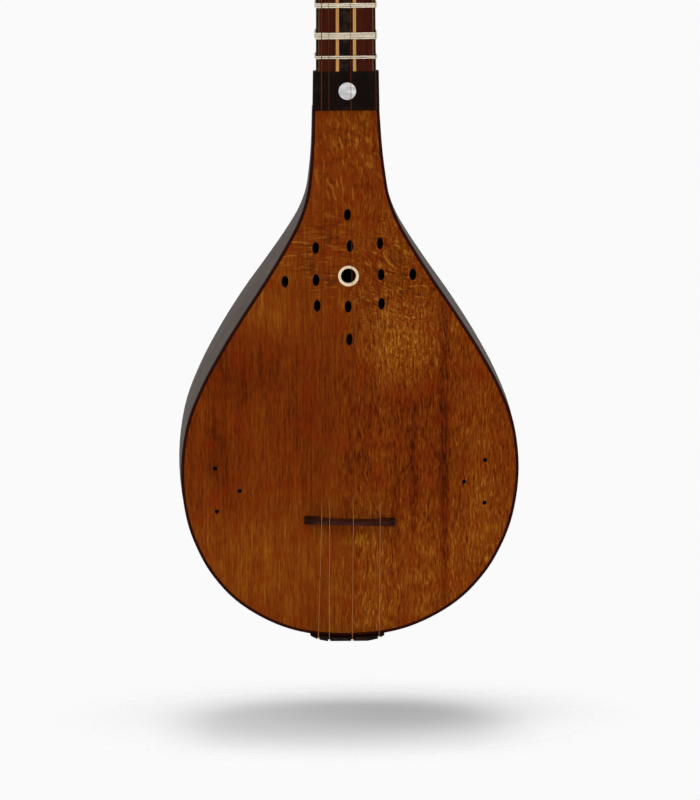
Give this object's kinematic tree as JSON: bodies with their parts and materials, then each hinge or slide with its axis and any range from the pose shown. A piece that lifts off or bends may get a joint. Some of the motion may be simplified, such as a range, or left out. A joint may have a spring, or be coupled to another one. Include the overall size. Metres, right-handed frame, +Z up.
{
  "type": "long-necked lute",
  "caption": "Long-necked plucked lute with a pear-shaped ribbed bowl, flat pierced soundboard, tied gut frets, sliding bridge and front and side friction pegs.",
  "frame": {"origin": "the tailpiece's flat underside, on the centre line, in the plane of the soundboard's outer face", "axes": "+Z up the neck to the head, +Y from the soundboard back into the bowl, +X to the right seen from the front"},
  "size_m": [0.158, 0.1828, 0.8306],
  "materials": {
    "soundboard_wood": "gloss varnish over figured wood",
    "bowl_wood": "dark gloss varnish",
    "ebony": "satin black",
    "neck_wood": "satin varnish",
    "fingerboard_wood": "satin",
    "pale_inlay": "satin",
    "inner_wood": "raw",
    "peg_wood": "satin",
    "bridge_wood": "satin",
    "bone": "polished bone",
    "pearl": "mother of pearl",
    "gut": "tied gut",
    "bronze_wire": "wound wire",
    "brass_wire": "drawn wire",
    "steel_wire": "drawn wire"
  },
  "bodies": {
    "instrument": {"soundboard": "soundboard_wood", "edge_binding": "ebony", "sound_hole_ring": "bone", "rib_01": "bowl_wood", "rib_02": "bowl_wood", "rib_03": "bowl_wood", "rib_04": "bowl_wood", "rib_05": "bowl_wood", "rib_06": "bowl_wood", "rib_07": "bowl_wood", "rib_08": "bowl_wood", "rib_09": "bowl_wood", "rib_10": "bowl_wood", "rib_11": "bowl_wood", "neck_block": "inner_wood", "tail_block": "inner_wood", "collar": "ebony", "pearl_dot": "pearl", "neck": "neck_wood", "fingerboard": "fingerboard_wood", "centre_strip": "ebony", "inlay_line_left": "pale_inlay", "inlay_line_right": "pale_inlay", "nut": "bone", "tailpiece": "ebony", "string_bass": "bronze_wire", "string_drone": "steel_wire", "string_middle": "brass_wire", "string_treble": "steel_wire"},
    "bridge": {"bridge": "bridge_wood"},
    "peg_bass": {"peg_bass": "peg_wood"},
    "peg_drone": {"peg_drone": "peg_wood"},
    "peg_middle": {"peg_middle": "peg_wood"},
    "peg_treble": {"peg_treble": "peg_wood"},
    "fret_01": {"fret_01": "gut"},
    "fret_02": {"fret_02": "gut"},
    "fret_03": {"fret_03": "gut"},
    "fret_04": {"fret_04": "gut"},
    "fret_05": {"fret_05": "gut"},
    "fret_06": {"fret_06": "gut"},
    "fret_07": {"fret_07": "gut"},
    "fret_08": {"fret_08": "gut"},
    "fret_09": {"fret_09": "gut"},
    "fret_10": {"fret_10": "gut"},
    "fret_11": {"fret_11": "gut"},
    "fret_12": {"fret_12": "gut"},
    "fret_13": {"fret_13": "gut"},
    "fret_14": {"fret_14": "gut"},
    "fret_15": {"fret_15": "gut"},
    "fret_16": {"fret_16": "gut"},
    "fret_17": {"fret_17": "gut"},
    "fret_18": {"fret_18": "gut"},
    "fret_19": {"fret_19": "gut"},
    "fret_20": {"fret_20": "gut"},
    "fret_21": {"fret_21": "gut"},
    "fret_22": {"fret_22": "gut"},
    "fret_23": {"fret_23": "gut"},
    "fret_24": {"fret_24": "gut"},
    "fret_25": {"fret_25": "gut"},
    "fret_26": {"fret_26": "gut"}
  },
  "joints": [
    {"name": "bridge_slide", "type": "slide", "parent": "instrument", "child": "bridge", "axis": [0, 0, 1], "range_m": [-0.002, 0.004]},
    {"name": "peg_bass_turn", "type": "hinge", "parent": "instrument", "child": "peg_bass", "pos_m": [0, 0.0115, 0.7456], "axis": [-1, 0, 0], "continuous": true},
    {"name": "peg_drone_turn", "type": "hinge", "parent": "instrument", "child": "peg_drone", "pos_m": [0, 0.0115, 0.7876], "axis": [-1, 0, 0], "continuous": true},
    {"name": "peg_middle_turn", "type": "hinge", "parent": "instrument", "child": "peg_middle", "pos_m": [-0.003, 0, 0.7656], "axis": [0, -1, 0], "continuous": true},
    {"name": "peg_treble_turn", "type": "hinge", "parent": "instrument", "child": "peg_treble", "pos_m": [0.004, 0, 0.8076], "axis": [0, -1, 0], "continuous": true},
    {"name": "fret_01_slide", "type": "slide", "parent": "instrument", "child": "fret_01", "axis": [0, 0, 1], "range_m": [-0.002, 0.002]},
    {"name": "fret_02_slide", "type": "slide", "parent": "instrument", "child": "fret_02", "axis": [0, 0, 1], "range_m": [-0.002, 0.002]},
    {"name": "fret_03_slide", "type": "slide", "parent": "instrument", "child": "fret_03", "axis": [0, 0, 1], "range_m": [-0.002, 0.002]},
    {"name": "fret_04_slide", "type": "slide", "parent": "instrument", "child": "fret_04", "axis": [0, 0, 1], "range_m": [-0.002, 0.002]},
    {"name": "fret_05_slide", "type": "slide", "parent": "instrument", "child": "fret_05", "axis": [0, 0, 1], "range_m": [-0.002, 0.002]},
    {"name": "fret_06_slide", "type": "slide", "parent": "instrument", "child": "fret_06", "axis": [0, 0, 1], "range_m": [-0.002, 0.002]},
    {"name": "fret_07_slide", "type": "slide", "parent": "instrument", "child": "fret_07", "axis": [0, 0, 1], "range_m": [-0.002, 0.002]},
    {"name": "fret_08_slide", "type": "slide", "parent": "instrument", "child": "fret_08", "axis": [0, 0, 1], "range_m": [-0.002, 0.002]},
    {"name": "fret_09_slide", "type": "slide", "parent": "instrument", "child": "fret_09", "axis": [0, 0, 1], "range_m": [-0.002, 0.002]},
    {"name": "fret_10_slide", "type": "slide", "parent": "instrument", "child": "fret_10", "axis": [0, 0, 1], "range_m": [-0.002, 0.002]},
    {"name": "fret_11_slide", "type": "slide", "parent": "instrument", "child": "fret_11", "axis": [0, 0, 1], "range_m": [-0.002, 0.002]},
    {"name": "fret_12_slide", "type": "slide", "parent": "instrument", "child": "fret_12", "axis": [0, 0, 1], "range_m": [-0.002, 0.002]},
    {"name": "fret_13_slide", "type": "slide", "parent": "instrument", "child": "fret_13", "axis": [0, 0, 1], "range_m": [-0.002, 0.002]},
    {"name": "fret_14_slide", "type": "slide", "parent": "instrument", "child": "fret_14", "axis": [0, 0, 1], "range_m": [-0.002, 0.002]},
    {"name": "fret_15_slide", "type": "slide", "parent": "instrument", "child": "fret_15", "axis": [0, 0, 1], "range_m": [-0.002, 0.002]},
    {"name": "fret_16_slide", "type": "slide", "parent": "instrument", "child": "fret_16", "axis": [0, 0, 1], "range_m": [-0.002, 0.002]},
    {"name": "fret_17_slide", "type": "slide", "parent": "instrument", "child": "fret_17", "axis": [0, 0, 1], "range_m": [-0.002, 0.002]},
    {"name": "fret_18_slide", "type": "slide", "parent": "instrument", "child": "fret_18", "axis": [0, 0, 1], "range_m": [-0.002, 0.002]},
    {"name": "fret_19_slide", "type": "slide", "parent": "instrument", "child": "fret_19", "axis": [0, 0, 1], "range_m": [-0.002, 0.002]},
    {"name": "fret_20_slide", "type": "slide", "parent": "instrument", "child": "fret_20", "axis": [0, 0, 1], "range_m": [-0.002, 0.002]},
    {"name": "fret_21_slide", "type": "slide", "parent": "instrument", "child": "fret_21", "axis": [0, 0, 1], "range_m": [-0.002, 0.002]},
    {"name": "fret_22_slide", "type": "slide", "parent": "instrument", "child": "fret_22", "axis": [0, 0, 1], "range_m": [-0.002, 0.002]},
    {"name": "fret_23_slide", "type": "slide", "parent": "instrument", "child": "fret_23", "axis": [0, 0, 1], "range_m": [-0.002, 0.002]},
    {"name": "fret_24_slide", "type": "slide", "parent": "instrument", "child": "fret_24", "axis": [0, 0, 1], "range_m": [-0.002, 0.002]},
    {"name": "fret_25_slide", "type": "slide", "parent": "instrument", "child": "fret_25", "axis": [0, 0, 1], "range_m": [-0.002, 0.002]},
    {"name": "fret_26_slide", "type": "slide", "parent": "instrument", "child": "fret_26", "axis": [0, 0, 1], "range_m": [-0.002, 0.002]}
  ]
}
